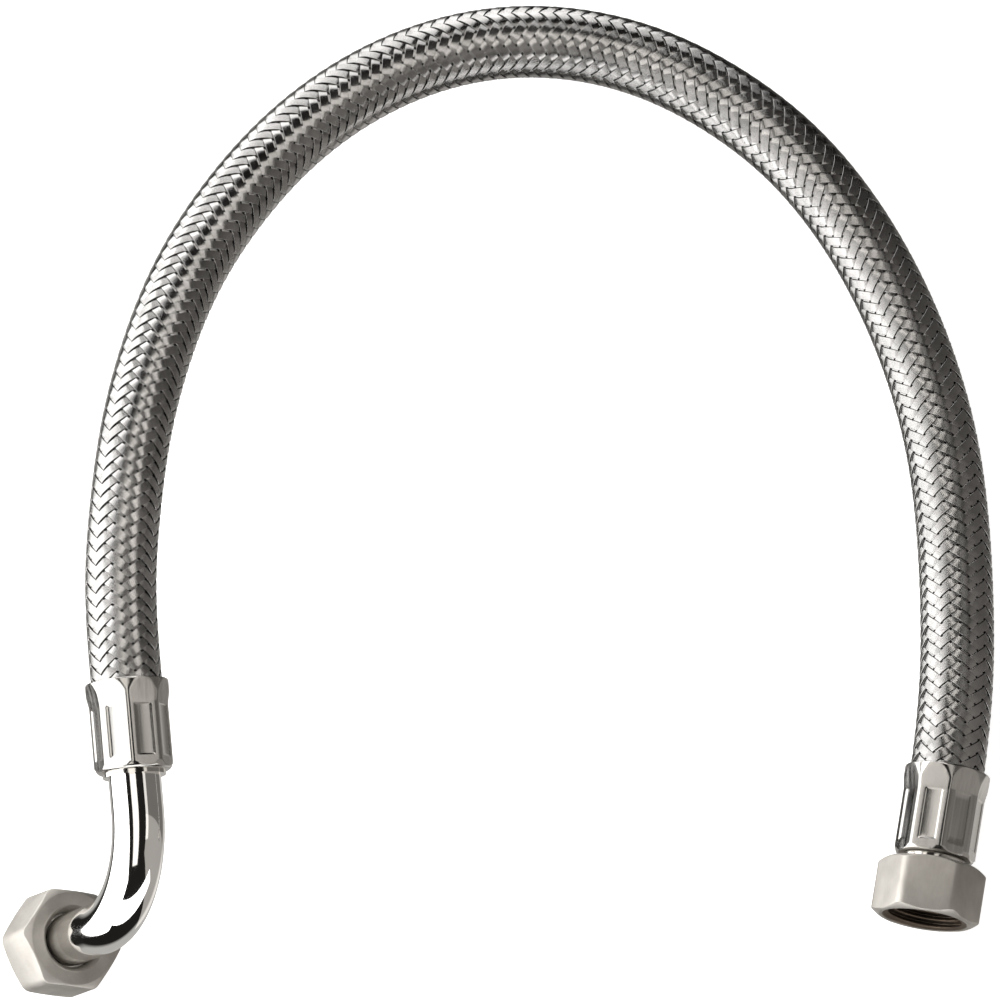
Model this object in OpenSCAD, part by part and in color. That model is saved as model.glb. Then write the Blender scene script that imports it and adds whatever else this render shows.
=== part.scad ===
// Braided supply line: a flexible water hose with a bent pipe on one end and a straight fitting on
// the other. A loose union nut on each end screws onto a half-inch pipe thread. The line lies on a
// surface, and all sizes are in millimetres.

/* [Hose] */
// Diameter over the braid at the elbow end
elbow_hose_d = 17.6; // [17.2:0.1:18.4]
// Diameter over the braid at the straight end
straight_hose_d = 18.4; // [17.2:0.1:18.6]
// Thickness of the wire braid
braid_t = 0.8; // [0.6:0.1:1]
// Bore of the rubber liner
liner_bore_d = 13; // [12.8:0.1:13.4]
// Diameter that the crimp squeezes the hose to
crimped_hose_d = 16.4; // [16.2:0.1:16.8]

/* [Ferrules] */
// Length of a ferrule
ferrule_len = 22.5; // [20:0.5:24]
// Diameter of the elbow ferrule's round rim
elbow_rim_d = 20.6; // [20.2:0.1:21.4]
// Size across the flats of the elbow ferrule's crimp
elbow_crimp_af = 18.2; // [18:0.1:18.8]
// Diameter of the straight ferrule's round rim
straight_rim_d = 21.2; // [20.8:0.1:21.6]
// Size across the flats of the straight ferrule's crimp
straight_crimp_af = 19; // [18.4:0.1:19.4]

/* [Bent pipe] */
// Outside diameter of the bent pipe
pipe_d = 13; // [12.6:0.1:13.2]
// Wall of the bent pipe
pipe_wall = 1; // [0.8:0.1:1.2]
// Radius of the pipe's centre line in the bend
bend_r = 25; // [22:0.5:28]
// Straight length from the ferrule to the bend
lead_len = 9.5; // [9:0.5:14]
// Straight length from the bend to the nut's back face
stub_len = 14.5; // [8:0.5:18]

/* [Union nuts] */
// Size across the flats
nut_af = 24; // [23.8:0.1:26]
// Height of a nut
nut_h = 14; // [13.5:0.5:16]
// Diameter inside the crests of the thread
thread_minor_d = 18.64; // [18.6:0.01:18.7]
// Thickness of the nut's back wall
nut_wall = 3; // [2.8:0.1:3.4]
// Clearance hole for the pipe in the back wall
nut_hole_d = 13.8; // [13.6:0.1:14]

/* [Sealing] */
// Diameter of the flange that the nut pulls on
flange_d = 18; // [17.6:0.1:18.2]
// Thickness of the flange
flange_t = 1.6; // [1.4:0.1:1.8]
// Diameter of a gasket, a little wider than the thread so that the nut keeps it
gasket_d = 19; // [18.8:0.1:20]
// Thickness of a gasket
gasket_t = 1.6; // [1.4:0.1:1.8]
// Bore of a gasket
gasket_bore_d = 11; // [10:0.5:12]

/* [Lie on the surface] */
// Turn of the elbow end seen from above
elbow_yaw = 5; // [0:10]
// Slope of the elbow end down towards its pipe
elbow_dip = 4; // [0:8]
// Lean of the elbow's outlet away from straight down
elbow_roll = 27; // [20:35]
// Turn of the straight end seen from above
straight_yaw = -9; // [-14:0]

/* [Hidden] */
$fn = 96;

// Details that a change of the driving sizes leaves alone
hose_in_ferrule = 20;   // how far the hose reaches into a ferrule
rim_len = 5.5;          // round length of a ferrule before its crimp
rim_clear = 0.2;        // gap round the hose at the ferrule's rim
lip_t = 1.2;            // end wall of a ferrule
neck_clear = 0.1;       // gap round the neck in a ferrule's end wall
edge_r = 1.4;           // rounding of a ferrule's end
facet_depth = 0.25;     // depth of the pressed panel on each flat
facet_w = 5;            // width of the pressed panel
facet_from = 7.5;       // start of the pressed panel, from the rim
facet_len = 12.5;       // length of the pressed panel
crimp_sides = 8;        // jaws of the crimping tool
tail_d = 12.7;          // outside of a tail between its barbs
barb_d = 13.4;          // outside of a barb
barb_pitch = 4;         // distance between barbs
barb_count = 4;         // barbs on a tail
tail_bore_d = 9.6;      // water way through a tail
ring_d = 15.6;          // shoulder ring outside the ferrule
ring_t = 1;             // thickness of the shoulder ring
spigot_len = 7;         // length of tail inside the bent pipe
nut_gap = 1.4;          // from the straight ferrule to its nut
shoulder_gap = 0.3;     // from a nut's shoulder to the flange
relief_d = 21.1;        // thread relief round the flange and gasket
relief_len = 3.6;       // length of the thread relief
mouth_d = 21.4;         // countersink at a nut's mouth
mouth_len = 1;          // depth of that countersink
sink_d = 16.8;          // countersink at the back of a nut
sink_len = 1.8;         // depth of that countersink
nut_face_d = 23;        // circle left by the 30 degree corner chamfer
elbow_nut_turn = 38;    // turn of the elbow nut about its own axis
elbow_crimp_turn = 27;  // turn of the elbow ferrule about its own axis
straight_crimp_turn = -8; // turn of the straight ferrule about its own axis
tube_sides = 12;        // sides of the hose's cross-section
steps = 2;              // rings for each control point of the hose's route
spline_step = 22;       // spacing of the control points inside a fitting

// The slopes of the two axes of the elbow, which set how high it stands on the rim of its nut
outlet_drop = cos(elbow_roll) * cos(elbow_dip);
elbow_z = (ferrule_len + lead_len + bend_r) * sin(elbow_dip)
        + (bend_r + stub_len + nut_h) * outlet_drop
        + nut_face_d / 2 * sqrt(1 - outlet_drop * outlet_drop);
// Centre of each ferrule's rim, where the hose goes in
elbow_at = [-90.5, 34.5, elbow_z];
straight_at = [111.5, 22, nut_af / 2];

// The hose's route between the ferrules, as the control points of a smooth curve. It comes down
// from the elbow, lies on the surface round the arch and rises a little to the straight fitting.
ROUTE = [
    [-92.5, 58, 58], [-91, 79, 58], [-88.5, 99.5, 56], [-83.5, 120, 51.5], [-76.5, 140, 45],
    [-66, 159, 37.5], [-52.5, 177, 30], [-36.5, 191.5, 23], [-18.5, 202, 17], [1, 207.5, 13],
    [21, 207.5, 10.5], [40, 202.5, 9.5], [57.5, 193, 9.5], [74, 180, 9.5], [87.5, 163, 9.5],
    [97.5, 145, 9.5], [105, 126.5, 9.5], [110.5, 106.5, 9.5], [113, 86.5, 10], [114, 65.5, 11],
    [114, 45, 12]
];

// Unit vector from the hose into a fitting that is turned by yaw and slopes down by dip
function inward(yaw, dip) = [sin(yaw) * cos(dip), -cos(yaw) * cos(dip), -sin(dip)];
elbow_dir = inward(elbow_yaw, elbow_dip);
straight_dir = inward(straight_yaw, 0);

// Straight run into both fittings, so that the hose leaves each ferrule along its axis
depths = [hose_in_ferrule + spline_step, hose_in_ferrule, hose_in_ferrule - spline_step];
CONTROL = concat(
    [for (d = depths) elbow_at + d * elbow_dir],
    ROUTE,
    [for (i = [2:-1:0]) straight_at + depths[i] * straight_dir]
);

// Uniform cubic B-spline: a point on span i at t from 0 to 1
function blend(i, t) = (
    pow(1 - t, 3) * CONTROL[i]
    + (3 * pow(t, 3) - 6 * t * t + 4) * CONTROL[i + 1]
    + (-3 * pow(t, 3) + 3 * t * t + 3 * t + 1) * CONTROL[i + 2]
    + pow(t, 3) * CONTROL[i + 3]) / 6;
function slope(i, t) = (
    -3 * pow(1 - t, 2) * CONTROL[i]
    + (9 * t * t - 12 * t) * CONTROL[i + 1]
    + (-9 * t * t + 6 * t + 3) * CONTROL[i + 2]
    + 3 * t * t * CONTROL[i + 3]) / 6;
function unit(v) = v / norm(v);

spans = len(CONTROL) - 3;
last_ring = spans * steps;
function span_of(k) = min(floor(k / steps), spans - 1);
function at(k) = blend(span_of(k), k / steps - span_of(k));
function along(k) = unit(slope(span_of(k), k / steps - span_of(k)));

// Rings 0, 1 and the last two are under the crimp, where the hose is squeezed
function crimped(k) = k < steps || k > last_ring - steps;
function hose_r(k) = crimped(k) ? crimped_hose_d / 2
    : (elbow_hose_d + (straight_hose_d - elbow_hose_d) * k / last_ring) / 2;
function ring(k, r) =
    let (t = along(k), side = unit(cross(t, [0, 0, 1])), up = cross(side, t))
    [for (j = [0:tube_sides - 1])
        at(k) + r * (cos(360 * j / tube_sides) * side + sin(360 * j / tube_sides) * up)];

// A closed tube between an outer and an inner radius, one pair of radii for each ring
module swept_tube(outer, inner) {
    rings = len(outer);
    inner_from = rings * tube_sides;
    points = concat(
        [for (k = [0:rings - 1]) each ring(k, outer[k])],
        [for (k = [0:rings - 1]) each ring(k, inner[k])]
    );
    function o(k, j) = k * tube_sides + j % tube_sides;
    function i(k, j) = inner_from + o(k, j);
    last = rings - 1;
    faces = [
        for (k = [0:last - 1], j = [0:tube_sides - 1]) each [
            [o(k, j), o(k, j + 1), o(k + 1, j + 1)],
            [o(k, j), o(k + 1, j + 1), o(k + 1, j)],
            [i(k, j), i(k + 1, j + 1), i(k, j + 1)],
            [i(k, j), i(k + 1, j), i(k + 1, j + 1)]
        ],
        for (j = [0:tube_sides - 1]) each [
            [o(0, j), i(0, j), i(0, j + 1)],
            [o(0, j), i(0, j + 1), o(0, j + 1)],
            [o(last, j), i(last, j + 1), i(last, j)],
            [o(last, j), o(last, j + 1), i(last, j + 1)]
        ]
    ];
    polyhedron(points = points, faces = faces, convexity = 10);
}

// Places a fitting: its +Z runs from the hose into the fitting, with Z = 0 at the ferrule's rim
module fitting_at(pos, yaw, dip, roll) {
    translate(pos) rotate([90 + dip, 0, yaw]) rotate([0, 0, roll]) children();
}
// On the elbow +X is the outlet's direction
module on_elbow() {
    fitting_at(elbow_at, elbow_yaw, elbow_dip, -90 - elbow_roll) children();
}
module on_straight() {
    fitting_at(straight_at, straight_yaw, 0, 0) children();
}
// The elbow's outlet: +Z runs out of the mouth, with Z = 0 at the nut's back face
module on_outlet() {
    on_elbow()
        translate([bend_r + stub_len, 0, ferrule_len + lead_len + bend_r])
            rotate([0, 90, 0]) children();
}
// The straight end's nut, with Z = 0 at its back face
module on_straight_nut() {
    on_straight() translate([0, 0, ferrule_len + nut_gap]) children();
}

// A tube along Z
module tube(outer_r, inner_r, from, to) {
    translate([0, 0, from]) difference() {
        cylinder(r = outer_r, h = to - from);
        translate([0, 0, -1]) cylinder(r = inner_r, h = to - from + 2);
    }
}

// Crimped sleeve: a round rim, then an eight-sided crimp with a pressed panel on each flat
module ferrule(rim_d, crimp_af, hose_d, turn) {
    rim_r = rim_d / 2;
    crimp_r = crimp_af / 2 / cos(180 / crimp_sides);
    difference() {
        union() {
            rotate_extrude() polygon([
                [hose_d / 2 + rim_clear, 0], [rim_r - 0.5, 0], [rim_r, 0.5], [rim_r, rim_len - 1],
                [crimp_af / 2 - facet_depth, rim_len + 1], [hose_d / 2 + rim_clear, rim_len + 1]
            ]);
            rotate([0, 0, turn]) intersection() {
                rotate_extrude() polygon([
                    [0, rim_len - 1], [crimp_r, rim_len - 1], [crimp_r, ferrule_len - edge_r],
                    [crimp_r - edge_r / 2, ferrule_len - edge_r / 4],
                    [crimp_r - edge_r * 1.4, ferrule_len], [0, ferrule_len]
                ]);
                cylinder(r = crimp_r, h = ferrule_len + 1, $fn = crimp_sides);
            }
        }
        rotate([0, 0, turn])
            for (i = [0:crimp_sides - 1])
                rotate([0, 0, (i + 0.5) * 360 / crimp_sides])
                    translate([crimp_af / 2 - facet_depth, -facet_w / 2, facet_from])
                        cube([facet_depth + 1, facet_w, facet_len]);
        translate([0, 0, -1]) cylinder(d = hose_d + 2 * rim_clear, h = rim_len + 1);
        translate([0, 0, -1]) cylinder(d = crimped_hose_d, h = ferrule_len - lip_t + 1);
        cylinder(d = pipe_d + 2 * neck_clear, h = ferrule_len + 1);
    }
}

// Outline of the barbed end of a tail, from its tip at the hose side
function barbs() = [for (i = [0:barb_count - 1]) each [
    [tail_d / 2, 1.5 + i * barb_pitch], [barb_d / 2, 4 + i * barb_pitch],
    [tail_d / 2, 4.4 + i * barb_pitch]
]];

// Union nut: a hexagon with chamfered corners, a back wall with a countersunk hole, a relief
// for the flange and gasket, and the threaded wall up to the countersunk mouth
module union_nut() {
    corner_r = nut_af / 2 / cos(30);
    chamfer = (corner_r - nut_face_d / 2) * tan(30);
    difference() {
        intersection() {
            cylinder(r = corner_r, h = nut_h, $fn = 6);
            rotate_extrude() polygon([
                [0, 0], [nut_face_d / 2, 0], [corner_r, chamfer], [corner_r, nut_h - chamfer],
                [nut_face_d / 2, nut_h], [0, nut_h]
            ]);
        }
        rotate_extrude() polygon([
            [0, -1], [sink_d / 2, -1], [sink_d / 2, 0], [nut_hole_d / 2, sink_len],
            [nut_hole_d / 2, nut_wall], [relief_d / 2, nut_wall],
            [relief_d / 2, nut_wall + relief_len], [thread_minor_d / 2, nut_wall + relief_len],
            [thread_minor_d / 2, nut_h - mouth_len], [mouth_d / 2, nut_h], [mouth_d / 2, nut_h + 1],
            [0, nut_h + 1]
        ]);
    }
}

module gasket() {
    seat = nut_wall + shoulder_gap + flange_t;
    tube(gasket_d / 2, gasket_bore_d / 2, seat, seat + gasket_t);
}

module braid_sleeve() {
    color("silver") swept_tube(
        [for (k = [0:last_ring]) hose_r(k)],
        [for (k = [0:last_ring]) hose_r(k) - braid_t]
    );
}

module inner_liner() {
    color("dimgray") swept_tube(
        [for (k = [0:last_ring]) hose_r(k) - braid_t],
        [for (k = [0:last_ring]) crimped(k) ? tail_d / 2 : liner_bore_d / 2]
    );
}

module elbow_ferrule() {
    color("lightgray") on_elbow()
        ferrule(elbow_rim_d, elbow_crimp_af, elbow_hose_d, elbow_crimp_turn);
}

module straight_ferrule() {
    color("lightgray") on_straight()
        ferrule(straight_rim_d, straight_crimp_af, straight_hose_d, straight_crimp_turn);
}

module elbow_tail() {
    ring_end = ferrule_len + ring_t;
    spigot_r = pipe_d / 2 - pipe_wall;
    color("silver") on_elbow() rotate_extrude() polygon(concat(
        [[tail_bore_d / 2, 0.5], [tail_d / 2 - 0.6, 0.5]], barbs(),
        [[tail_d / 2, ferrule_len], [ring_d / 2, ferrule_len], [ring_d / 2, ring_end],
         [spigot_r, ring_end], [spigot_r, ring_end + spigot_len],
         [tail_bore_d / 2, ring_end + spigot_len]]
    ));
}

module elbow_pipe() {
    start = ferrule_len + ring_t;
    outer_r = pipe_d / 2;
    inner_r = outer_r - pipe_wall;
    stub_end = stub_len + nut_wall + shoulder_gap + flange_t;
    color("gainsboro") on_elbow() union() {
        tube(outer_r, inner_r, start, ferrule_len + lead_len);
        translate([bend_r, 0, ferrule_len + lead_len])
            rotate([90, 0, 0]) mirror([1, 0, 0]) rotate_extrude(angle = 90)
                translate([bend_r, 0]) difference() {
                    circle(r = outer_r);
                    circle(r = inner_r);
                }
        translate([bend_r, 0, ferrule_len + lead_len + bend_r])
            rotate([0, 90, 0]) tube(outer_r, inner_r, 0, stub_end);
    }
}

module elbow_collar() {
    from = nut_wall + shoulder_gap;
    color("silver") on_outlet() tube(flange_d / 2, pipe_d / 2, from, from + flange_t);
}

module elbow_gasket() {
    color("darkslategray") on_outlet() gasket();
}

module elbow_nut() {
    color("darkgray") on_outlet() rotate([0, 0, elbow_nut_turn]) union_nut();
}

module straight_tail() {
    ring_end = ferrule_len + ring_t;
    flange_from = ferrule_len + nut_gap + nut_wall + shoulder_gap;
    color("silver") on_straight() rotate_extrude() polygon(concat(
        [[tail_bore_d / 2, 0.5], [tail_d / 2 - 0.6, 0.5]], barbs(),
        [[tail_d / 2, ferrule_len], [ring_d / 2, ferrule_len], [ring_d / 2, ring_end],
         [pipe_d / 2, ring_end], [pipe_d / 2, flange_from], [flange_d / 2, flange_from],
         [flange_d / 2, flange_from + flange_t], [tail_bore_d / 2, flange_from + flange_t]]
    ));
}

module straight_gasket() {
    color("darkslategray") on_straight_nut() gasket();
}

module straight_nut() {
    color("darkgray") on_straight_nut() union_nut();
}

braid_sleeve();
inner_liner();
elbow_ferrule();
elbow_tail();
elbow_pipe();
elbow_collar();
elbow_gasket();
elbow_nut();
straight_ferrule();
straight_tail();
straight_gasket();
straight_nut();
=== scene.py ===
"""Braided supply line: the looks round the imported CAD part.

The braid is 24 woven carriers of eight wires each over a rubber liner, with two crimped ferrules,
a bent chrome pipe, the tails and gaskets, and a threaded union nut on each end. Sizes are in metres.
"""

import math

import bpy
import numpy as np
from mathutils import Matrix, Vector


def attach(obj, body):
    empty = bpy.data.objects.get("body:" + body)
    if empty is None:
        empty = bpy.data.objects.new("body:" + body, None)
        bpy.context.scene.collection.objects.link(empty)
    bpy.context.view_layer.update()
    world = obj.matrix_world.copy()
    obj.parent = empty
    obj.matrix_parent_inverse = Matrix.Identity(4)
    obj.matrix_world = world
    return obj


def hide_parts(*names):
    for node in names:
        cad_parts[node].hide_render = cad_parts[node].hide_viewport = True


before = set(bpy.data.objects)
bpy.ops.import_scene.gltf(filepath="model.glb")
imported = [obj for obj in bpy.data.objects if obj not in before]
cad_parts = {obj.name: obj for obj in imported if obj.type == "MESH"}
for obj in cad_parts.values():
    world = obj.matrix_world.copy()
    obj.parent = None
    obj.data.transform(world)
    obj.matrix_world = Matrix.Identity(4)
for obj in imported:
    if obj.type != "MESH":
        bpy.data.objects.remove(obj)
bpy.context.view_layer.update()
MM = 0.001

# The camera looks down on the line from a long way off, and the whole line fills its view
VIEW_ELEVATION = math.radians(77)
VIEW_CENTRE = Vector((1.1, 93.5, 0)) * MM
VIEW_WIDTH = 246.6 * MM
VIEW_DISTANCE = 8.0
VIEW_NEARER = 25 * MM        # the line's middle is this much nearer than the point looked at
SENSOR = 36.0

# Hose, from the elbow end to the straight end
HOSE_R = (8.8 * MM, 9.2 * MM)
CRIMPED_R = 8.2 * MM
BRAID_T = 0.8 * MM
LINER_BORE_R = 6.5 * MM
TAIL_R = 6.35 * MM
HOSE_IN_FERRULE = 20 * MM
SQUEEZED_LEN = HOSE_IN_FERRULE - 7 * MM  # the crimp squeezes this much of each end of the hose
FREE_FROM = HOSE_IN_FERRULE - 2 * MM     # from here the hose has its full size
TAIL_IN_HOSE = HOSE_IN_FERRULE - 4 * MM
SPLINE_STEP = 22 * MM
POINTS_PER_SPAN = 60

# Braid
CARRIERS_EACH_WAY = 12
BRAID_LEAD = 39.6 * MM
WIRES = 8
WIRE_D = 0.3 * MM
WIRE_H = 0.05 * MM
WEAVE_H = 0.23 * MM
WEAVE_STEEP = 2.2            # how sharply a carrier passes from over to under
CARRIER_BACK = 0.98          # width of a carrier's flat back over its front
CROSSING_STEP = 0.25         # how finely a carrier follows the ones that it crosses
BAND_SHARE = 0.393           # half a carrier's width over the spacing of the carriers
BRAID_ANGLES = (26, 13, 20)  # where a column of floats lies at the start, middle and end, in degrees

# Fittings
FERRULE_LEN = 22.5 * MM
ELBOW_RIM_R, ELBOW_CRIMP_AF = 10.3 * MM, 18.2 * MM
STRAIGHT_RIM_R, STRAIGHT_CRIMP_AF = 10.6 * MM, 19 * MM
PIPE_R = 6.5 * MM
PIPE_WALL = 1 * MM
BEND_R = 25 * MM
LEAD_LEN = 9.5 * MM
STUB_LEN = 14.5 * MM
RING_T = 1 * MM
NUT_AF = 24 * MM
NUT_H = 14 * MM
NUT_FACE_R = 11.5 * MM
NUT_WALL = 3 * MM
NUT_GAP = 1.4 * MM
SHOULDER_GAP = 0.3 * MM
FLANGE_T = 1.6 * MM
SMOOTH_BELOW = math.radians(50)
NUT_SMOOTH_BELOW = math.radians(40)

# How the two ends lie: turns in degrees, places at the ferrules' rims
ELBOW_YAW, ELBOW_DIP, ELBOW_ROLL = 5, 4, 27
STRAIGHT_YAW = -9
ELBOW_NUT_TURN = 38
ELBOW_CRIMP_TURN = 27
STRAIGHT_CRIMP_TURN = -8
outlet_drop = math.cos(math.radians(ELBOW_ROLL)) * math.cos(math.radians(ELBOW_DIP))
elbow_height = (
    (FERRULE_LEN + LEAD_LEN + BEND_R) * math.sin(math.radians(ELBOW_DIP))
    + (BEND_R + STUB_LEN + NUT_H) * outlet_drop
    + NUT_FACE_R * math.sqrt(1 - outlet_drop**2)
)
ELBOW_AT = Vector((-90.5 * MM, 34.5 * MM, elbow_height))
STRAIGHT_AT = Vector((111.5 * MM, 22 * MM, NUT_AF / 2))

# The hose's route in millimetres: down from the elbow, round the arch on the surface, and up a little
ROUTE = [
    (-92.5, 58, 58), (-91, 79, 58), (-88.5, 99.5, 56), (-83.5, 120, 51.5), (-76.5, 140, 45),
    (-66, 159, 37.5), (-52.5, 177, 30), (-36.5, 191.5, 23), (-18.5, 202, 17), (1, 207.5, 13),
    (21, 207.5, 10.5), (40, 202.5, 9.5), (57.5, 193, 9.5), (74, 180, 9.5), (87.5, 163, 9.5),
    (97.5, 145, 9.5), (105, 126.5, 9.5), (110.5, 106.5, 9.5), (113, 86.5, 10), (114, 65.5, 11),
    (114, 45, 12),
]


# ---------------------------------------------------------------- camera

def make_camera():
    data = bpy.data.cameras.new("camera")
    data.sensor_width = SENSOR
    data.lens = SENSOR * (VIEW_DISTANCE - VIEW_NEARER) / VIEW_WIDTH
    data.clip_end = 3 * VIEW_DISTANCE
    camera = bpy.data.objects.new("camera", data)
    bpy.context.scene.collection.objects.link(camera)
    back = Vector((0, -math.cos(VIEW_ELEVATION), math.sin(VIEW_ELEVATION)))
    camera.location = VIEW_CENTRE + VIEW_DISTANCE * back
    camera.rotation_euler = (math.pi / 2 - VIEW_ELEVATION, 0, 0)
    bpy.context.scene.camera = camera
    return back


# ---------------------------------------------------------------- mesh helpers

def grid_object(name, grid, material, body, matrix=None, closed=False):
    """A mesh from rows of points. Each row is a loop, and the rows are capped, or a ring if closed."""
    rows, columns = grid.shape[:2]
    index = np.arange(rows * columns).reshape(rows, columns)
    ahead = np.roll(index, -1, axis=1)
    if closed:
        here, after = index, np.roll(index, -1, axis=0)
        here_next, after_next = ahead, np.roll(ahead, -1, axis=0)
    else:
        here, after = index[:-1], index[1:]
        here_next, after_next = ahead[:-1], ahead[1:]
    quads = np.stack([here, here_next, after_next, after], axis=-1).reshape(-1, 4)
    corners = quads.ravel()
    starts = np.arange(len(quads)) * 4
    totals = np.full(len(quads), 4)
    if not closed:
        corners = np.concatenate([corners, index[0][::-1], index[-1]])
        starts = np.concatenate([starts, [len(quads) * 4, len(quads) * 4 + columns]])
        totals = np.concatenate([totals, [columns, columns]])
    mesh = bpy.data.meshes.new(name)
    mesh.vertices.add(rows * columns)
    mesh.vertices.foreach_set("co", grid.reshape(-1).astype(np.float32))
    mesh.loops.add(len(corners))
    mesh.loops.foreach_set("vertex_index", corners.astype(np.int32))
    mesh.polygons.add(len(totals))
    mesh.polygons.foreach_set("loop_start", starts.astype(np.int32))
    mesh.polygons.foreach_set("loop_total", totals.astype(np.int32))
    mesh.update(calc_edges=True)
    mesh.validate()
    mesh.polygons.foreach_set("use_smooth", np.ones(len(mesh.polygons), bool))
    mesh.materials.append(material)
    obj = bpy.data.objects.new(name, mesh)
    bpy.context.scene.collection.objects.link(obj)
    if matrix is not None:
        obj.matrix_world = matrix
    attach(obj, body)
    return obj


def smooth_step(low, high, x):
    t = np.clip((x - low) / (high - low), 0, 1)
    return t * t * (3 - 2 * t)


def rounded(profile, radius, steps=3):
    """The closed outline with each corner turned into a small curve of the same number of points."""
    most = 0.45                  # of a side's length goes into a corner's curve
    points = [np.array(p, float) for p in profile]
    made = []
    for k, corner in enumerate(points):
        to_last = points[k - 1] - corner
        to_next = points[(k + 1) % len(points)] - corner
        reach_last = min(radius, most * np.linalg.norm(to_last))
        reach_next = min(radius, most * np.linalg.norm(to_next))
        a = corner + to_last / np.linalg.norm(to_last) * reach_last
        b = corner + to_next / np.linalg.norm(to_next) * reach_next
        for t in np.linspace(0, 1, steps):
            made.append((1 - t) ** 2 * a + 2 * t * (1 - t) * corner + t * t * b)
    return np.array(made)


def lathe(profiles, angles):
    """Rows of points for grid_object: profile k, in (radius, height), stands at angle k.

    Each profile is turned round, so that the faces point outwards.
    """
    spun = [
        np.stack([p[:, 0] * math.cos(a), p[:, 0] * math.sin(a), p[:, 1]], axis=-1)
        for p, a in zip(profiles, angles)
    ]
    return np.array(spun)[:, ::-1]


# ---------------------------------------------------------------- places of the fittings

def turn(axis, degrees):
    return Matrix.Rotation(math.radians(degrees), 4, axis)


def fitting_at(place, yaw, dip, roll):
    return Matrix.Translation(place) @ turn("Z", yaw) @ turn("X", 90 + dip) @ turn("Z", roll)


ON_ELBOW = fitting_at(ELBOW_AT, ELBOW_YAW, ELBOW_DIP, -90 - ELBOW_ROLL)
ON_STRAIGHT = fitting_at(STRAIGHT_AT, STRAIGHT_YAW, 0, 0)
OUTLET_PLACE = (BEND_R + STUB_LEN, 0, FERRULE_LEN + LEAD_LEN + BEND_R)
ON_OUTLET = ON_ELBOW @ Matrix.Translation(OUTLET_PLACE) @ turn("Y", 90)
ON_STRAIGHT_NUT = ON_STRAIGHT @ Matrix.Translation((0, 0, FERRULE_LEN + NUT_GAP))


# ---------------------------------------------------------------- the hose's centre line

def control_points():
    into_elbow = ON_ELBOW.to_3x3() @ Vector((0, 0, 1))
    into_straight = ON_STRAIGHT.to_3x3() @ Vector((0, 0, 1))
    depths = [HOSE_IN_FERRULE + SPLINE_STEP, HOSE_IN_FERRULE, HOSE_IN_FERRULE - SPLINE_STEP]
    start = [ELBOW_AT + d * into_elbow for d in depths]
    end = [STRAIGHT_AT + d * into_straight for d in reversed(depths)]
    middle = [Vector(p) * MM for p in ROUTE]
    return np.array([tuple(p) for p in (*start, *middle, *end)])


def spline(control, per_span):
    """Points on the uniform cubic B-spline, per_span to each span."""
    t = np.linspace(0, 1, per_span, endpoint=False)[:, None]
    spans = []
    for i in range(len(control) - 3):
        a, b, c, d = control[i : i + 4]
        span = (
            (1 - t) ** 3 * a
            + (3 * t**3 - 6 * t * t + 4) * b
            + (-3 * t**3 + 3 * t * t + 3 * t + 1) * c
            + t**3 * d
        ) / 6
        spans.append(span)
    last = (control[-3] + 4 * control[-2] + control[-1]) / 6
    return np.concatenate([*spans, last[None]])


class Route:
    """The hose's centre line by its length, with the direction that faces the camera at each point."""

    def __init__(self, facing):
        self.points = spline(control_points(), POINTS_PER_SPAN)
        steps = np.linalg.norm(np.diff(self.points, axis=0), axis=1)
        self.lengths = np.concatenate([[0], np.cumsum(steps)])
        self.length = self.lengths[-1]
        tangents = np.gradient(self.points, self.lengths, axis=0)
        tangents /= np.linalg.norm(tangents, axis=1, keepdims=True)
        up = np.array(facing) - (tangents @ np.array(facing))[:, None] * tangents
        self.up = up / np.linalg.norm(up, axis=1, keepdims=True)
        self.right = np.cross(tangents, self.up)

    def at(self, table, s):
        return np.stack([np.interp(s, self.lengths, table[:, k]) for k in range(3)], axis=-1)

    def surface(self, s, angle, radius):
        """Points round the centre line at length s; angle 0 faces the camera, and it grows to the right."""
        up, right = self.at(self.up, s), self.at(self.right, s)
        out = np.cos(angle)[..., None] * up + np.sin(angle)[..., None] * right
        return self.at(self.points, s) + radius[..., None] * out

    def hose_radius(self, s):
        """Outside of the braid: it grows towards the straight end, and the crimps squeeze both ends."""
        free = HOSE_R[0] + (HOSE_R[1] - HOSE_R[0]) * s / self.length
        inside = np.minimum(s, self.length - s)
        loose = smooth_step(SQUEEZED_LEN, FREE_FROM, inside)
        return CRIMPED_R + (free - CRIMPED_R) * loose


# ---------------------------------------------------------------- hose pieces

def make_liner(route, material):
    rows, columns = 340, 40
    s = np.linspace(0, route.length, rows)[:, None] * np.ones((1, columns))
    angle = np.ones((rows, 1)) * np.arange(columns)[None] * 2 * math.pi / columns
    outside = route.surface(s, angle, route.hose_radius(s) - BRAID_T)
    on_tail = np.minimum(s, route.length - s) < TAIL_IN_HOSE
    bore = route.surface(s, angle, np.where(on_tail, TAIL_R, LINER_BORE_R))
    grid = np.concatenate([outside, bore[::-1]])
    return grid_object("liner", grid, material, "line", closed=True)


def weave(phase):
    """Height of a carrier over its mean, from -1 to 1: over two carriers, then under two."""
    return np.tanh(WEAVE_STEEP * np.cos(phase * math.pi / 2)) / math.tanh(WEAVE_STEEP)


def carrier_profile():
    """Across a carrier: the place from -1 to 1 and the height of its wires, then its flat back."""
    per_wire = 4
    across = np.linspace(-1, 1, WIRES * per_wire + 1)
    in_wire = np.arange(WIRES * per_wire + 1) / per_wire % 1
    height = WIRE_H * np.sqrt(np.clip(1 - (2 * in_wire - 1) ** 2, 0, 1))
    back = np.array([CARRIER_BACK, 0, -CARRIER_BACK])
    return np.concatenate([across, back]), np.concatenate([height, np.full(len(back), -WIRE_D / 2)])


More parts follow.
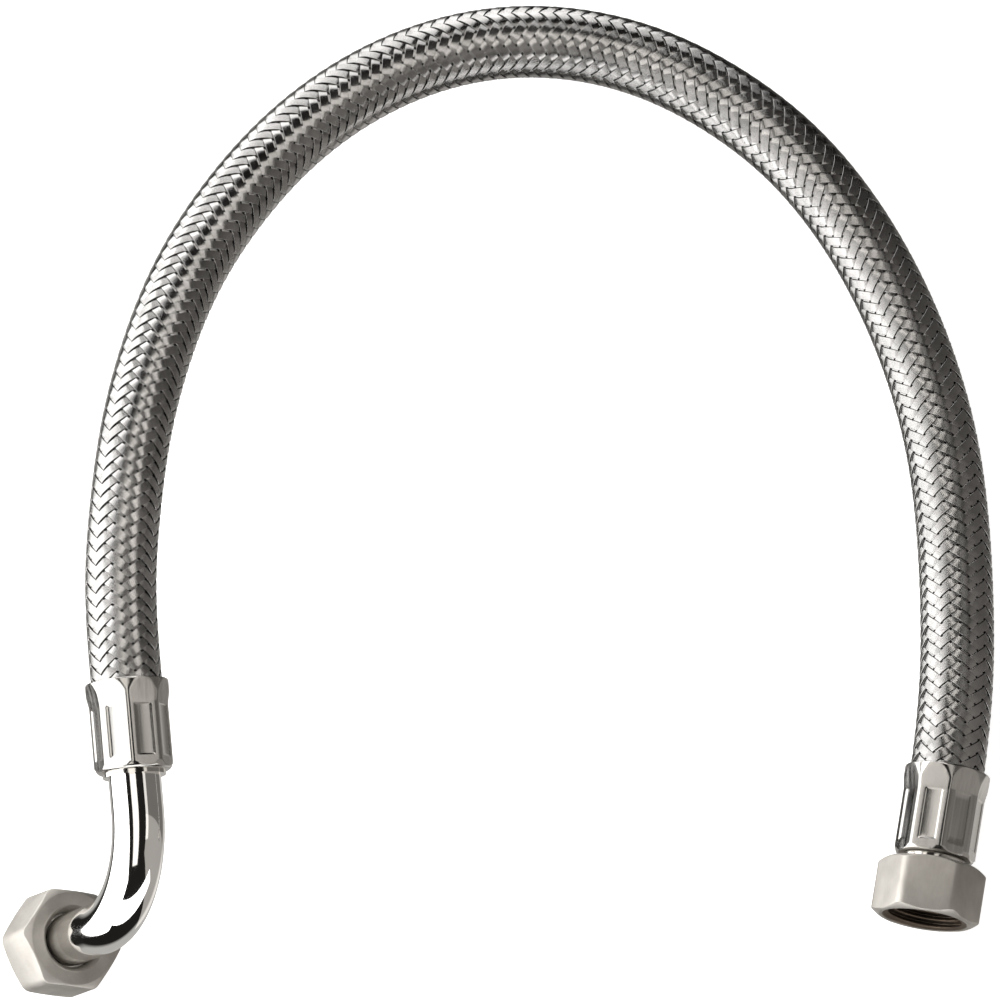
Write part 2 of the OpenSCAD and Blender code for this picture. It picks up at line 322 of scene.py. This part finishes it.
def make_carrier(route, number, way, material):
    """One carrier of either way. Carriers to the right lie at whole p and those to the left at whole q."""
    across, ridge = carrier_profile()
    per_turn = 2 * CARRIERS_EACH_WAY
    crossings = per_turn * route.length / BRAID_LEAD
    passed = np.arange(1, crossings - 1, CROSSING_STEP)[:, None] * np.ones((1, len(across)))
    own = number + BAND_SHARE * across[None] * np.ones((len(passed), 1))
    other = number + way * passed
    p, q = (own, other) if way > 0 else (other, own)
    lift = way * weave(other + number - 0.5)
    s = (q - p) * BRAID_LEAD / per_turn
    column = np.radians(np.interp(s / route.length, (0, 0.5, 1), BRAID_ANGLES))
    angle = column + (p + q - 0.5) * math.pi / CARRIERS_EACH_WAY
    mean = route.hose_radius(s) - WIRE_H - WEAVE_H
    grid = route.surface(s, angle, mean + WEAVE_H * lift + ridge[None])
    name = f"carrier_{'right' if way > 0 else 'left'}_{number:02d}"
    return grid_object(name, grid, material, "line")


# ---------------------------------------------------------------- ferrules

CRIMP_SIDES = 8
PANEL_FROM = 6.4 * MM
PANEL_TO = 19.6 * MM
PANEL_HALF = 2.4 * MM
PANEL_DEPTH = 0.12 * MM
PANEL_DISH = 0.08 * MM
PANEL_EDGE = 0.6 * MM
RAMP_LEN = 6.2 * MM
RAMP_INSET = 0.05 * MM       # the flats start this far inside the round rim
RAMP_POWER = 1.15
RIM_BLEND = 0.12 * MM        # softness of the line where the flats run out into the rim
RIDGE_R = 1.2 * MM
END_R = 1.5 * MM
END_PROUD = 0.4 * MM         # the end's round edge starts this far outside the flats
END_WALL = 1.2 * MM
RIM_EDGE_R = 0.5 * MM
RIM_EDGE_RINGS = (0, 0.04, 0.12, 0.24, 0.36)  # heights in millimetres
RIM_BORE_LEN = 5 * MM
CRIMP_BORE_FROM = 6.5 * MM
HOSE_CLEAR = 0.15 * MM
NECK_CLEAR = 0.1 * MM


def ferrule_outside(z, angle, rim_r, crimp_af):
    """Radius of the pressed sleeve: eight flats with a dished panel each, running out into the round rim."""
    half = math.pi / CRIMP_SIDES
    off = np.abs((angle + half) % (2 * half) - half)
    flat = crimp_af / 2
    distance = flat + (rim_r - flat - RAMP_INSET) * np.clip(1 - z / RAMP_LEN, 0, 1) ** RAMP_POWER
    aside = flat * np.tan(off)
    in_width = 1 - smooth_step(PANEL_HALF - PANEL_EDGE, PANEL_HALF, aside)
    in_length = smooth_step(PANEL_FROM, PANEL_FROM + PANEL_EDGE, z)
    in_length *= 1 - smooth_step(PANEL_TO - PANEL_EDGE, PANEL_TO, z)
    dish = PANEL_DISH * (1 - (aside / PANEL_HALF) ** 2)
    distance = distance - (PANEL_DEPTH + dish) * in_width * in_length
    to_centre = (distance - RIDGE_R) / math.cos(half)
    beside = to_centre * np.sin(half - off)
    on_ridge = to_centre * np.cos(half - off) + np.sqrt(np.maximum(RIDGE_R**2 - beside**2, 0))
    flat_ends = np.arctan((distance - RIDGE_R) * math.tan(half) / distance)
    pressed = np.where(off <= flat_ends, distance / np.cos(off), on_ridge)
    mix = np.clip(0.5 + (pressed - rim_r) / (2 * RIM_BLEND), 0, 1)
    radius = pressed + (rim_r - pressed) * mix - RIM_BLEND * mix * (1 - mix)
    radius = np.minimum(radius, end_round(FERRULE_LEN - z, flat + END_PROUD, END_R))
    return np.minimum(radius, end_round(z, rim_r, RIM_EDGE_R))


def end_round(from_end, radius, edge_r):
    """Radius of a round end whose edge is rounded; past the rounding it sets no limit."""
    inward = np.clip(edge_r - from_end, 0, edge_r)
    curve = radius - edge_r + np.sqrt(edge_r**2 - inward**2)
    return np.where(from_end < edge_r, curve, np.inf)


def make_ferrule(name, matrix, rim_r, crimp_af, hose_r, crimp_turn, material):
    flat = crimp_af / 2
    panel_angle = math.atan(PANEL_HALF / flat)
    edge_angle = math.atan((PANEL_HALF - PANEL_EDGE) / flat)
    half = math.pi / CRIMP_SIDES
    steps = 5
    one_side = [
        *np.linspace(0, edge_angle, steps, endpoint=False),
        *np.linspace(edge_angle, panel_angle, steps, endpoint=False),
        *np.linspace(panel_angle, half, steps),
    ]
    sector = sorted({round(a, 9) for a in one_side} | {-round(a, 9) for a in one_side[1:-1]})
    angles = np.array([k * 2 * half + a for k in range(CRIMP_SIDES) for a in sector])
    rim_rings, edge_rings, panel_rings, past_rings, end_rings = 22, 6, 10, 5, 10
    heights = np.concatenate([
        np.array(RIM_EDGE_RINGS) * MM,
        np.linspace(RIM_EDGE_R, PANEL_FROM, rim_rings, endpoint=False),
        np.linspace(PANEL_FROM, PANEL_FROM + PANEL_EDGE, edge_rings, endpoint=False),
        np.linspace(PANEL_FROM + PANEL_EDGE, PANEL_TO - PANEL_EDGE, panel_rings, endpoint=False),
        np.linspace(PANEL_TO - PANEL_EDGE, PANEL_TO, edge_rings, endpoint=False),
        np.linspace(PANEL_TO, FERRULE_LEN - END_R, past_rings, endpoint=False),
        FERRULE_LEN - END_R * (1 - np.sin(np.linspace(0, math.pi / 2, end_rings))),
    ])
    bore_end = FERRULE_LEN - END_WALL
    neck_r = PIPE_R + NECK_CLEAR
    rim_bore_r = hose_r + HOSE_CLEAR
    inside = [
        (neck_r, FERRULE_LEN), (neck_r, bore_end), (CRIMPED_R, bore_end),
        (CRIMPED_R, CRIMP_BORE_FROM), (rim_bore_r, RIM_BORE_LEN), (rim_bore_r, 0),
    ]
    profiles = []
    for a in angles:
        outer = ferrule_outside(heights, np.full(len(heights), a), rim_r, crimp_af)
        profiles.append(np.concatenate([np.stack([outer, heights], axis=-1), inside]))
    grid = lathe(profiles, angles + math.pi / CRIMP_SIDES)
    placed = matrix @ turn("Z", crimp_turn)
    obj = grid_object(name, grid, material, "line", placed, closed=True)
    obj.data.set_sharp_from_angle(angle=SMOOTH_BELOW)
    return obj


# ---------------------------------------------------------------- bent pipe

def make_pipe(material):
    """The pipe's centre line runs along +Z, turns through 90 degrees and runs on along +X."""
    columns = 96
    lead_rings, bend_rings, stub_rings = 12, 64, 16
    start = FERRULE_LEN + RING_T
    bend_from = FERRULE_LEN + LEAD_LEN
    end = STUB_LEN + NUT_WALL + SHOULDER_GAP + FLANGE_T
    places, outward = [], []
    for z in np.linspace(start, bend_from, lead_rings, endpoint=False):
        places.append((0, 0, z))
        outward.append((-1, 0, 0))
    for a in np.linspace(0, math.pi / 2, bend_rings, endpoint=False):
        places.append((BEND_R * (1 - math.cos(a)), 0, bend_from + BEND_R * math.sin(a)))
        outward.append((-math.cos(a), 0, math.sin(a)))
    for x in np.linspace(0, end, stub_rings):
        places.append((BEND_R + x, 0, bend_from + BEND_R))
        outward.append((0, 0, 1))
    places, outward = np.array(places), np.array(outward)
    side = np.array([0, 1, 0])
    turns = np.arange(columns) * 2 * math.pi / columns
    ring = np.cos(turns)[None, :, None] * outward[:, None] + np.sin(turns)[None, :, None] * side
    outside = places[:, None] + PIPE_R * ring
    inside = places[:, None] + (PIPE_R - PIPE_WALL) * ring
    grid = np.concatenate([inside, outside[::-1]])
    obj = grid_object("bent_pipe", grid, material, "line", ON_ELBOW, closed=True)
    obj.data.set_sharp_from_angle(angle=SMOOTH_BELOW)
    return obj


# ---------------------------------------------------------------- union nuts

NUT_CORNER_R = 2.6 * MM
THREAD_PITCH = 1.814 * MM
THREAD_MINOR_R = 9.32 * MM
THREAD_DEPTH = 1.14 * MM
THREAD_FROM = 6.6 * MM
THREAD_RUN_IN = 0.6 * MM
THREAD_RINGS = 72
CREST_TO, ROOT_FROM = 0.12, 0.88  # the thread's flank lies between these shares of half a pitch
RELIEF_R = 10.55 * MM
RELIEF_RAMP = 0.4 * MM
MOUTH_R = 11.15 * MM
MOUTH_LIP = 0.05 * MM
MOUTH_SLOPE = 4.0            # steepness of the countersink
BARE_SHADED_R = 10.9 * MM           # inside this radius the bore is bare brass, darkened further by painted shade
BARE_SHADED_EDGE = 0.5 * MM
SINK_R = 8.4 * MM
SINK_LEN = 1.8 * MM
NUT_HOLE_R = 6.9 * MM
NUT_EDGE = 0.18 * MM


def hexagon(angle):
    """Distance from a nut's axis to its side, with rounded corners."""
    sixth = math.pi / 3
    off = abs(angle % sixth - sixth / 2)
    flat = NUT_AF / 2
    flat_ends = math.atan((flat - NUT_CORNER_R) * math.tan(sixth / 2) / flat)
    if off <= flat_ends:
        return flat / math.cos(off)
    to_centre = (flat - NUT_CORNER_R) / math.cos(sixth / 2)
    aside = to_centre * math.sin(sixth / 2 - off)
    return to_centre * math.cos(sixth / 2 - off) + math.sqrt(NUT_CORNER_R**2 - aside**2)


def thread_radius(z, angle):
    """Right-hand thread cut into the wall, fading out at the relief and at the countersunk mouth."""
    place = (z / THREAD_PITCH - angle / (2 * math.pi)) % 1
    cut = smooth_step(CREST_TO, ROOT_FROM, np.abs(2 * place - 1))
    into = smooth_step(THREAD_FROM, THREAD_FROM + THREAD_RUN_IN, z)
    radius = THREAD_MINOR_R + THREAD_DEPTH * cut * into
    mouth = MOUTH_R - (NUT_H - z) * MOUTH_SLOPE
    return np.maximum(radius, mouth)


def make_nut(name, matrix, body, replaced, material):
    sixth = math.pi / 3
    flat_steps, corner_steps = 12, 9
    flat_ends = math.atan((NUT_AF / 2 - NUT_CORNER_R) * math.tan(sixth / 2) / (NUT_AF / 2))
    sector = [
        *np.linspace(-flat_ends, flat_ends, flat_steps, endpoint=False),
        *np.linspace(flat_ends, sixth - flat_ends, corner_steps, endpoint=False),
    ]
    angles = np.array([(k + 0.5) * sixth + a for k in range(6) for a in sector])
    thread_z = np.linspace(NUT_H - MOUTH_LIP, THREAD_FROM, THREAD_RINGS)
    profiles = []
    for a in angles:
        side = hexagon(a)
        chamfer = (side - NUT_FACE_R) * math.tan(sixth / 2)
        outside = [
            (SINK_R, 0), (NUT_FACE_R, 0), (side, chamfer), (side, NUT_H - chamfer),
            (NUT_FACE_R, NUT_H), (MOUTH_R, NUT_H),
        ]
        inside = [
            (RELIEF_R, THREAD_FROM - RELIEF_RAMP), (RELIEF_R, NUT_WALL), (NUT_HOLE_R, NUT_WALL),
            (NUT_HOLE_R, SINK_LEN),
        ]
        corners = rounded(outside + inside, NUT_EDGE)
        cut = 3 * len(outside)
        thread = np.stack([thread_radius(thread_z, a), thread_z], axis=-1)
        profiles.append(np.concatenate([corners[:cut], thread, corners[cut:]]))
    grid = lathe(profiles, angles)
    obj = grid_object(name, grid, material, body, matrix, closed=True)
    obj.data.set_sharp_from_angle(angle=NUT_SMOOTH_BELOW)
    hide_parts(replaced)


# ---------------------------------------------------------------- materials

NOISE_LOW, NOISE_HIGH = 0.3, 0.7  # most of a noise texture's values lie between these


class Material:
    """A procedural material whose patterns lie in the piece's own frame."""

    def __init__(self, name, base, metallic, roughness):
        self.data = bpy.data.materials.new(name)
        self.data.use_nodes = True
        self.nodes = self.data.node_tree.nodes
        self.links = self.data.node_tree.links
        self.shader = self.nodes["Principled BSDF"]
        self.shader.inputs["Base Color"].default_value = (*base, 1)
        self.shader.inputs["Metallic"].default_value = metallic
        self.shader.inputs["Roughness"].default_value = roughness
        self.place = self.nodes.new("ShaderNodeTexCoord").outputs["Object"]

    def feed(self, socket, output):
        self.links.new(output, self.shader.inputs[socket])

    def noise(self, scale, stretch=(1, 1, 1)):
        mapping = self.nodes.new("ShaderNodeMapping")
        mapping.inputs["Scale"].default_value = stretch
        self.links.new(self.place, mapping.inputs["Vector"])
        texture = self.nodes.new("ShaderNodeTexNoise")
        texture.inputs["Scale"].default_value = scale
        texture.inputs["Detail"].default_value = 3
        self.links.new(mapping.outputs["Vector"], texture.inputs["Vector"])
        return texture.outputs["Fac"]

    def spread(self, value, low, high):
        """Maps a noise value to the range from low to high."""
        span = self.nodes.new("ShaderNodeMapRange")
        span.inputs["From Min"].default_value = NOISE_LOW
        span.inputs["From Max"].default_value = NOISE_HIGH
        span.inputs["To Min"].default_value = low
        span.inputs["To Max"].default_value = high
        self.links.new(value, span.inputs["Value"])
        return span.outputs["Result"]

    def tint(self, value, dark, light):
        """Maps a noise value to the colours from dark to light."""
        ramp = self.nodes.new("ShaderNodeValToRGB")
        ramp.color_ramp.elements[0].position = NOISE_LOW
        ramp.color_ramp.elements[0].color = (*dark, 1)
        ramp.color_ramp.elements[1].position = NOISE_HIGH
        ramp.color_ramp.elements[1].color = (*light, 1)
        self.links.new(value, ramp.inputs["Fac"])
        return ramp.outputs["Color"]

    def bump(self, value, strength, distance):
        node = self.nodes.new("ShaderNodeBump")
        node.inputs["Strength"].default_value = strength
        node.inputs["Distance"].default_value = distance
        self.links.new(value, node.inputs["Height"])
        self.feed("Normal", node.outputs["Normal"])


def braid_steel():
    steel = Material("braid_steel", base=(0.38, 0.375, 0.365), metallic=1, roughness=0.2)
    patches = steel.noise(scale=160)
    steel.feed("Base Color", steel.tint(patches, dark=(0.32, 0.315, 0.305), light=(0.44, 0.43, 0.42)))
    steel.feed("Roughness", steel.spread(patches, low=0.13, high=0.21))
    return steel.data


def liner_rubber():
    rubber = Material("liner_rubber", base=(0.02, 0.02, 0.02), metallic=0, roughness=0.7)
    grain = rubber.noise(scale=900)
    rubber.feed("Base Color", rubber.tint(grain, dark=(0.015, 0.015, 0.015), light=(0.035, 0.033, 0.03)))
    rubber.bump(grain, strength=0.3, distance=0.1 * MM)
    return rubber.data


def ferrule_steel():
    steel = Material("ferrule_steel", base=(0.5, 0.485, 0.46), metallic=1, roughness=0.18)
    drawn = steel.noise(scale=700, stretch=(1, 1, 0.06))
    steel.feed("Base Color", steel.tint(drawn, dark=(0.45, 0.435, 0.415), light=(0.55, 0.535, 0.51)))
    steel.feed("Roughness", steel.spread(drawn, low=0.12, high=0.26))
    steel.bump(drawn, strength=0.12, distance=0.05 * MM)
    return steel.data


def pipe_chrome():
    chrome = Material("pipe_chrome", base=(0.86, 0.85, 0.83), metallic=1, roughness=0.05)
    haze = chrome.noise(scale=120)
    chrome.feed("Base Color", chrome.tint(haze, dark=(0.84, 0.83, 0.81), light=(0.89, 0.88, 0.86)))
    chrome.feed("Roughness", chrome.spread(haze, low=0.035, high=0.075))
    return chrome.data


def tail_nickel():
    nickel = Material("tail_nickel", base=(0.72, 0.7, 0.66), metallic=1, roughness=0.1)
    turned = nickel.noise(scale=600)
    nickel.feed("Base Color", nickel.tint(turned, dark=(0.66, 0.64, 0.6), light=(0.78, 0.76, 0.72)))
    nickel.feed("Roughness", nickel.spread(turned, low=0.07, high=0.15))
    return nickel.data


def gasket_rubber():
    rubber = Material("gasket_rubber", base=(0.03, 0.03, 0.03), metallic=0, roughness=0.6)
    grain = rubber.noise(scale=1200)
    rubber.feed("Base Color", rubber.tint(grain, dark=(0.02, 0.02, 0.02), light=(0.05, 0.048, 0.045)))
    rubber.bump(grain, strength=0.4, distance=0.1 * MM)
    return rubber.data


def bore_shade_mask(material):
    """1 on the nut's threaded bore, 0 on its back, its faces and its rim: where the bare brass and the
    painted shade go.
    """
    nodes, links = material.nodes, material.links
    axes = nodes.new("ShaderNodeSeparateXYZ")
    links.new(material.place, axes.inputs["Vector"])
    flat = nodes.new("ShaderNodeCombineXYZ")
    links.new(axes.outputs["X"], flat.inputs["X"])
    links.new(axes.outputs["Y"], flat.inputs["Y"])
    radius = nodes.new("ShaderNodeVectorMath")
    radius.operation = "LENGTH"
    links.new(flat.outputs["Vector"], radius.inputs[0])
    inside = nodes.new("ShaderNodeMapRange")
    inside.inputs["From Min"].default_value = BARE_SHADED_R
    inside.inputs["From Max"].default_value = BARE_SHADED_R - BARE_SHADED_EDGE
    links.new(radius.outputs["Value"], inside.inputs["Value"])
    deep = nodes.new("ShaderNodeMapRange")
    deep.inputs["From Min"].default_value = NUT_WALL
    deep.inputs["From Max"].default_value = NUT_WALL + BARE_SHADED_EDGE
    links.new(axes.outputs["Z"], deep.inputs["Value"])
    both = nodes.new("ShaderNodeMath")
    both.operation = "MULTIPLY"
    links.new(inside.outputs["Result"], both.inputs[0])
    links.new(deep.outputs["Result"], both.inputs[1])
    return both.outputs["Value"]


def nut_nickel():
    nickel = Material("nut_nickel", base=(0.52, 0.5, 0.46), metallic=1, roughness=0.54)
    clouds = nickel.noise(scale=180)
    plated = nickel.tint(clouds, dark=(0.47, 0.445, 0.41), light=(0.57, 0.545, 0.505))
    # The bore is mixed to a dark brown: partly bare brass, partly painted shade for the shadow inside the
    # nut.
    layer = nickel.nodes.new("ShaderNodeMix")
    layer.data_type = "RGBA"
    layer.inputs["B"].default_value = (0.13, 0.1, 0.075, 1)
    nickel.links.new(bore_shade_mask(nickel), layer.inputs["Factor"])
    nickel.links.new(plated, layer.inputs["A"])
    nickel.feed("Base Color", layer.outputs["Result"])
    drawn = nickel.noise(scale=1400, stretch=(1, 1, 0.3))
    nickel.feed("Roughness", nickel.spread(drawn, low=0.48, high=0.6))
    nickel.bump(drawn, strength=0.45, distance=0.05 * MM)
    return nickel.data


# ---------------------------------------------------------------- studio

WHITE = (1, 1, 1)
CREAM = (1, 0.97, 0.93)
GREY = (1, 0.95, 0.9)

# Upright softboxes: the side that each stands on, its place over the ground, its lowest and highest point,
# its width, its brightness and its colour
PANELS = {
    "left_panel": ((-1, 0, 0), (-0.6, 0), -0.29, 0.66, 1.8, 3.0, WHITE),
    "back_panel": ((0, 1, 0), (-0.24, 0.85), -0.3, 0.4, 0.82, 2.8, WHITE),
    "front_panel": ((0, -1, 0), (0.19, -0.75), -0.11, 0.27, 1.58, 2.6, WHITE),
    "right_panel": ((1, 0, 0), (0.7, -0.41), -1.6, 1.2, 0.92, 0.4, GREY),
    "dim_panel": ((1, 0, 0), (0.7, 0.4), -1.6, 1.2, 0.7, 0.16, GREY),
}

# Softboxes overhead, facing down: the place, the size along X and along Y, the brightness and the colour
STRIPS = {
    "top_strip": ((-0.14, -0.03, 0.36), 0.14, 0.53, 1.3, CREAM),
    "arch_strip": ((0.04, 0.24, 0.36), 0.18, 0.18, 2.8, CREAM),
    "right_strip": ((0.17, 0.04, 0.36), 0.1, 0.36, 0.75, CREAM),
}

FLOOR_REACH = 12.0


def softbox(name, place, aim, width, height, radiance, colour):
    """An area light with a given brightness as the metal mirrors it. The camera doesn't see it."""
    data = bpy.data.lights.new(name, "AREA")
    data.shape = "RECTANGLE"
    data.size = width
    data.size_y = height
    data.energy = radiance * math.pi * width * height
    data.color = colour
    light = bpy.data.objects.new(name, data)
    light.location = place
    light.rotation_euler = (Vector(aim) - Vector(place)).to_track_quat("-Z", "Y").to_euler()
    light.visible_camera = False
    bpy.context.scene.collection.objects.link(light)


def upright_panel(name, side, centre, low, high, width, radiance, colour):
    """A softbox that stands upright on one side of the line and faces it."""
    place = Vector((*centre, (low + high) / 2))
    softbox(name, place, place - Vector(side), width, high - low, radiance, colour)


def make_floor():
    mesh = bpy.data.meshes.new("floor")
    corners = [(FLOOR_REACH * x, FLOOR_REACH * y, 0) for x, y in ((-1, -1), (1, -1), (1, 1), (-1, 1))]
    mesh.from_pydata(corners, [], [(0, 1, 2, 3)])
    floor = bpy.data.objects.new("floor", mesh)
    paint = Material("floor", base=(0.9, 0.9, 0.9), metallic=0, roughness=0.9)
    paint.shader.inputs["Specular IOR Level"].default_value = 0.1
    paint.shader.inputs["Emission Color"].default_value = (*WHITE, 1)
    paint.shader.inputs["Emission Strength"].default_value = 0.8
    mesh.materials.append(paint.data)
    bpy.context.scene.collection.objects.link(floor)
    floor.visible_glossy = False


def make_world():
    """White behind the floor; the metal mirrors a dark room that gets lighter towards the ground."""
    world = bpy.data.worlds.new("world")
    world.use_nodes = True
    links = world.node_tree.links
    nodes = world.node_tree.nodes
    shown = nodes["Background"]
    shown.inputs["Color"].default_value = (*WHITE, 1)
    place = nodes.new("ShaderNodeTexCoord")
    split = nodes.new("ShaderNodeSeparateXYZ")
    links.new(place.outputs["Generated"], split.inputs["Vector"])
    ramp = nodes.new("ShaderNodeValToRGB")
    ramp.color_ramp.elements[0].position = 0.12
    ramp.color_ramp.elements[0].color = (0.5, 0.49, 0.47, 1)
    ramp.color_ramp.elements[1].position = 0.17
    ramp.color_ramp.elements[1].color = (0.015, 0.014, 0.013, 1)
    half_up = nodes.new("ShaderNodeMapRange")
    half_up.inputs["From Min"].default_value = -1
    links.new(split.outputs["Z"], half_up.inputs["Value"])
    links.new(half_up.outputs["Result"], ramp.inputs["Fac"])
    room = nodes.new("ShaderNodeBackground")
    links.new(ramp.outputs["Color"], room.inputs["Color"])
    path = nodes.new("ShaderNodeLightPath")
    mix = nodes.new("ShaderNodeMixShader")
    links.new(path.outputs["Is Camera Ray"], mix.inputs["Fac"])
    links.new(room.outputs["Background"], mix.inputs[1])
    links.new(shown.outputs["Background"], mix.inputs[2])
    links.new(mix.outputs["Shader"], nodes["World Output"].inputs["Surface"])
    bpy.context.scene.world = world


def make_studio():
    make_floor()
    make_world()
    for name, panel in PANELS.items():
        upright_panel(name, *panel)
    for name, (place, *strip) in STRIPS.items():
        softbox(name, place, (*place[:2], 0), *strip)
    bpy.context.scene.view_settings.view_transform = "Standard"


# ---------------------------------------------------------------- the scene

facing = make_camera()
route = Route(facing)

liner = make_liner(route, liner_rubber())
steel = braid_steel()
carriers = [
    make_carrier(route, number, way, steel)
    for way in (1, -1)
    for number in range(CARRIERS_EACH_WAY)
]
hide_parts("inner_liner")
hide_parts("braid_sleeve")

pressed = ferrule_steel()
elbow_ferrule = make_ferrule(
    "ferrule_elbow", ON_ELBOW, ELBOW_RIM_R, ELBOW_CRIMP_AF, HOSE_R[0], ELBOW_CRIMP_TURN, pressed
)
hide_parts("elbow_ferrule")
straight_ferrule = make_ferrule(
    "ferrule_straight", ON_STRAIGHT, STRAIGHT_RIM_R, STRAIGHT_CRIMP_AF, HOSE_R[1], STRAIGHT_CRIMP_TURN,
    pressed,
)
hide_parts("straight_ferrule")

pipe = make_pipe(pipe_chrome())
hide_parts("elbow_pipe")

satin = nut_nickel()
elbow_nut_place = ON_OUTLET @ turn("Z", ELBOW_NUT_TURN)
make_nut("nut_elbow", elbow_nut_place, "elbow_nut_body", "elbow_nut", satin)
make_nut("nut_straight", ON_STRAIGHT_NUT, "straight_nut_body", "straight_nut", satin)

for node, material in (
    ("elbow_tail", tail_nickel()),
    ("straight_tail", tail_nickel()),
    ("elbow_collar", tail_nickel()),
    ("elbow_gasket", gasket_rubber()),
    ("straight_gasket", gasket_rubber()),
):
    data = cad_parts[node].data
    data.materials.clear()
    data.materials.append(material)

make_studio()
